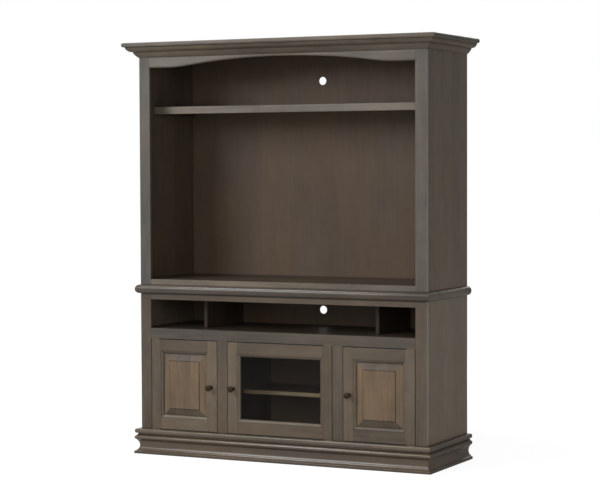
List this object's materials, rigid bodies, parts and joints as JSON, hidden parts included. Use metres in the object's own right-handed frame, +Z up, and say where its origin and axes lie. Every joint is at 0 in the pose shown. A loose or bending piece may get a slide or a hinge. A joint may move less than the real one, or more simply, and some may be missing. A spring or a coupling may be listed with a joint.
{
  "type": "entertainment center",
  "caption": "Entertainment center: hutch with open bays, shelf, arched rail and crown over a base with media bays, raised-panel side doors and a glazed middle door.",
  "frame": {"origin": "on the floor, under the middle of the whole object's box", "axes": "+Z up, +X to the right seen from the front, the front faces -Y"},
  "size_m": [1.652, 0.568, 2.018],
  "materials": {
    "face_wood": "satin stained",
    "door_wood": "satin stained",
    "panel_wood": "satin stained",
    "side_wood": "satin stained",
    "moulding_wood": "satin stained",
    "inside_wood": "satin stained",
    "back_wood": "satin stained",
    "hidden_wood": "satin stained",
    "knob_bronze": "dark oil-rubbed bronze",
    "hinge_steel": "antique brown steel",
    "screw_steel": "zinc plated",
    "dark_plastic": "matte brown",
    "pane_glass": "lightly smoked"
  },
  "bodies": {
    "cabinet": {"arched_rail": "face_wood", "base_back_panel": "back_wood", "base_bottom_rail": "face_wood", "base_floor": "inside_wood", "base_left_side": "side_wood", "base_middle_rail": "face_wood", "base_middle_stiles": "face_wood", "base_outer_stiles": "face_wood", "base_right_side": "side_wood", "base_top_board": "face_wood", "base_top_rail": "face_wood", "bay_dividers": "inside_wood", "cap_board": "moulding_wood", "cap_moulding_front": "moulding_wood", "cap_moulding_left": "moulding_wood", "cap_moulding_right": "moulding_wood", "crown_moulding_front": "moulding_wood", "crown_moulding_left": "moulding_wood", "crown_moulding_right": "moulding_wood", "cupboard_shelves": "inside_wood", "door_catches": "dark_plastic", "foot_moulding_front": "moulding_wood", "foot_moulding_left": "moulding_wood", "foot_moulding_right": "moulding_wood", "glue_blocks": "hidden_wood", "hinge_frame_leaves": "hinge_steel", "hutch_back_panel": "back_wood", "hutch_bottom_rail": "face_wood", "hutch_floor": "inside_wood", "hutch_left_side": "side_wood", "hutch_right_side": "side_wood", "hutch_screws": "screw_steel", "hutch_shelf": "inside_wood", "hutch_shelf_cleats": "inside_wood", "hutch_shelf_nosing": "face_wood", "hutch_stiles": "face_wood", "hutch_top_panel": "inside_wood", "media_shelf": "inside_wood", "partitions": "inside_wood", "shelf_pins": "screw_steel", "top_board_cleats": "hidden_wood"},
    "left_door": {"left_door_stiles": "door_wood", "left_door_rails": "door_wood", "left_door_panel": "panel_wood", "left_door_knob": "knob_bronze", "left_door_hinge_leaves": "hinge_steel", "left_door_fittings": "screw_steel"},
    "middle_door": {"middle_door_stiles": "door_wood", "middle_door_rails": "door_wood", "middle_door_glass": "pane_glass", "glass_stops": "door_wood", "middle_door_knob": "knob_bronze", "middle_door_hinge_leaves": "hinge_steel", "middle_door_fittings": "screw_steel"},
    "right_door": {"right_door_stiles": "door_wood", "right_door_rails": "door_wood", "right_door_panel": "panel_wood", "right_door_knob": "knob_bronze", "right_door_hinge_leaves": "hinge_steel", "right_door_fittings": "screw_steel"}
  },
  "joints": [
    {"name": "left_door_hinge", "type": "hinge", "parent": "cabinet", "child": "left_door", "pos_m": [-0.698, -0.2155, 0.347], "axis": [0, 0, -1], "range_deg": [0, 105]},
    {"name": "middle_door_hinge", "type": "hinge", "parent": "cabinet", "child": "middle_door", "pos_m": [0.274, -0.2155, 0.347], "axis": [0, 0, 1], "range_deg": [0, 105]},
    {"name": "right_door_hinge", "type": "hinge", "parent": "cabinet", "child": "right_door", "pos_m": [0.698, -0.2155, 0.347], "axis": [0, 0, 1], "range_deg": [0, 105]}
  ]
}
